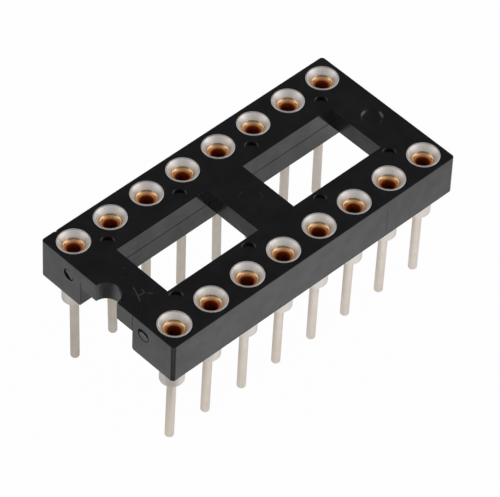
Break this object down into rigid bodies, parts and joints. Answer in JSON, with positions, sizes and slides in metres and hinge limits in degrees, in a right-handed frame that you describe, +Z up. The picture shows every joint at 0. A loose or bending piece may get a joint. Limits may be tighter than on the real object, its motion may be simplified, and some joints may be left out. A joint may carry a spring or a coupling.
{
  "type": "dual in-line integrated circuit socket",
  "caption": "Low open-frame dual in-line socket: black moulded ladder frame, turned contact sleeves with funnel mouths, sprung gold clips inside and round solder tails below.",
  "frame": {"origin": "centre of the contact pattern, on the plane under the contact shoulders that rests on the board", "axes": "+Z up out of the board through the top face, +X along the contact rows, the pin 1 notch at the -X end"},
  "size_m": [0.0202, 0.01, 0.0088],
  "materials": {
    "moulded_plastic": "glass-filled black moulding with a smooth, slightly glossy surface",
    "tinned_sleeve": "turned brass with bright tin plate",
    "gold_clip": "spring copper alloy with gold plate"
  },
  "bodies": {
    "root": {"insulator_frame": "moulded_plastic", "contact_sleeve_01": "tinned_sleeve", "contact_sleeve_02": "tinned_sleeve", "contact_sleeve_03": "tinned_sleeve", "contact_sleeve_04": "tinned_sleeve", "contact_sleeve_05": "tinned_sleeve", "contact_sleeve_06": "tinned_sleeve", "contact_sleeve_07": "tinned_sleeve", "contact_sleeve_08": "tinned_sleeve", "contact_sleeve_09": "tinned_sleeve", "contact_sleeve_10": "tinned_sleeve", "contact_sleeve_11": "tinned_sleeve", "contact_sleeve_12": "tinned_sleeve", "contact_sleeve_13": "tinned_sleeve", "contact_sleeve_14": "tinned_sleeve", "contact_sleeve_15": "tinned_sleeve", "contact_sleeve_16": "tinned_sleeve", "contact_clip_01": "gold_clip", "contact_clip_02": "gold_clip", "contact_clip_03": "gold_clip", "contact_clip_04": "gold_clip", "contact_clip_05": "gold_clip", "contact_clip_06": "gold_clip", "contact_clip_07": "gold_clip", "contact_clip_08": "gold_clip", "contact_clip_09": "gold_clip", "contact_clip_10": "gold_clip", "contact_clip_11": "gold_clip", "contact_clip_12": "gold_clip", "contact_clip_13": "gold_clip", "contact_clip_14": "gold_clip", "contact_clip_15": "gold_clip", "contact_clip_16": "gold_clip"}
  },
  "joints": []
}
